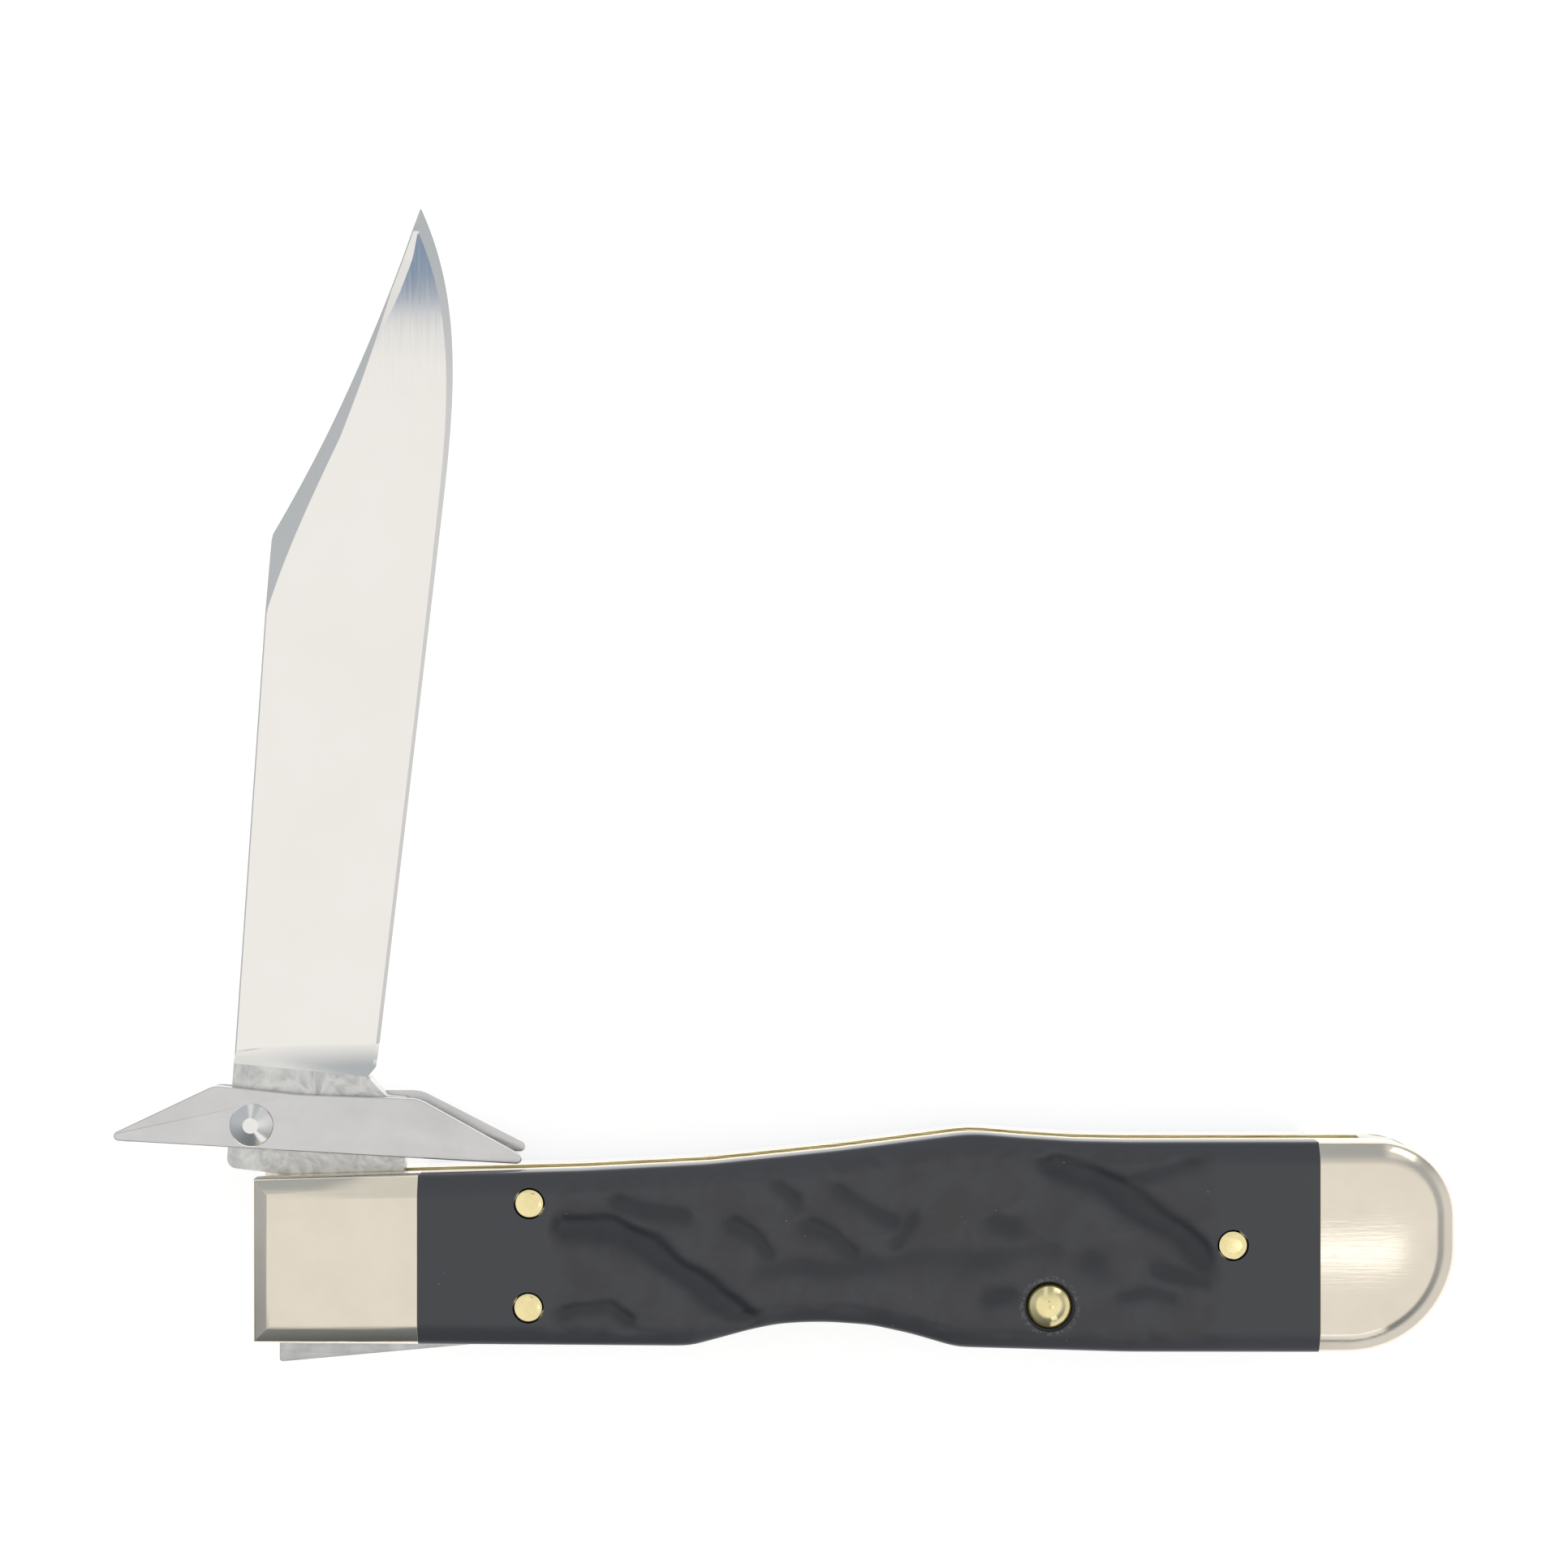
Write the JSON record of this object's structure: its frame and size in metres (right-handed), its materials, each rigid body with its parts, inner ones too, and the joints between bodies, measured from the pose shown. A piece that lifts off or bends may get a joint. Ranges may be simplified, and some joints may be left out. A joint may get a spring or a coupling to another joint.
{
  "type": "folding pocket knife",
  "caption": "Folding pocket knife, half open: clip-point blade, lock bar in the back, swinging two-plate guard, metal bolsters and black carved scales.",
  "frame": {"origin": "where the pivot axis meets the outer face of the far front bolster, the face that the knife lies on", "axes": "+Z through the handle's thickness, from the far side to the near side; +X along the handle from the pivot to the butt; +Y to the side that the blade folds into"},
  "size_m": [0.1246, 0.108, 0.0128],
  "materials": {
    "polished_steel": "fine satin polish",
    "spring_steel": "tempered, unpolished",
    "nickel_silver": "polished, warm white",
    "brass": "polished",
    "black_scale": "soft gloss, carved between smooth ends"
  },
  "bodies": {
    "handle": {"liner_far": "brass", "liner_near": "brass", "front_bolster_far": "nickel_silver", "front_bolster_near": "nickel_silver", "scale_far": "black_scale", "scale_near": "black_scale", "rear_bolster_far": "nickel_silver", "rear_bolster_near": "nickel_silver", "back_spacer": "polished_steel", "lock_spring": "spring_steel", "spring_pin": "brass", "rear_bolster_pin": "nickel_silver", "scale_rivet_front_far": "brass", "scale_rivet_front_near": "brass", "scale_rivet_rear_far": "brass", "scale_rivet_rear_near": "brass"},
    "pivot": {"pivot_pin": "nickel_silver"},
    "blade_body": {"blade": "polished_steel"},
    "guard_pivot": {"guard_pin": "polished_steel"},
    "guard_far": {"guard_plate_far": "polished_steel"},
    "guard_near": {"guard_plate_near": "polished_steel"},
    "rocker": {"rocker_pin": "brass"},
    "bar": {"lock_bar": "polished_steel"}
  },
  "joints": [
    {"name": "blade_open", "type": "hinge", "parent": "handle", "child": "pivot", "pos_m": [0, 0, 0.0064], "axis": [0, 0, 1], "range_deg": [0, 92]},
    {"name": "blade_close", "type": "hinge", "parent": "pivot", "child": "blade_body", "pos_m": [0, 0, 0.0064], "axis": [0, 0, 1], "range_deg": [-85.5, 0]},
    {"name": "guard_fold", "type": "hinge", "parent": "blade_body", "child": "guard_pivot", "pos_m": [-0.0074, 0.00976, 0.0064], "axis": [0, 0, 1], "range_deg": [0, 90.5]},
    {"name": "guard_play_near", "type": "hinge", "parent": "guard_pivot", "child": "guard_near", "pos_m": [-0.0074, 0.00976, 0.0064], "axis": [0, 0, 1], "range_deg": [0, 1.9]},
    {"name": "guard_play_far", "type": "hinge", "parent": "guard_pivot", "child": "guard_far", "pos_m": [-0.0074, 0.00976, 0.0064], "axis": [0, 0, 1], "range_deg": [-1.9, 0]},
    {"name": "bar_sink", "type": "hinge", "parent": "handle", "child": "rocker", "pos_m": [0.0187, -0.0067, 0.0064], "axis": [0, 0, -1], "range_deg": [0, 5.2], "deforming": ["lock_spring"]},
    {"name": "lock_bar_snap", "type": "hinge", "parent": "rocker", "child": "bar", "pos_m": [0.0187, -0.0067, 0.0064], "axis": [0, 0, -1], "range_deg": [0, 5.2]}
  ],
  "couplings": [
    {"joint": "guard_fold", "follows": "blade_close", "ratio": -1.0575},
    {"joint": "bar_sink", "follows": "blade_close", "ratio": -0.0608}
  ]
}
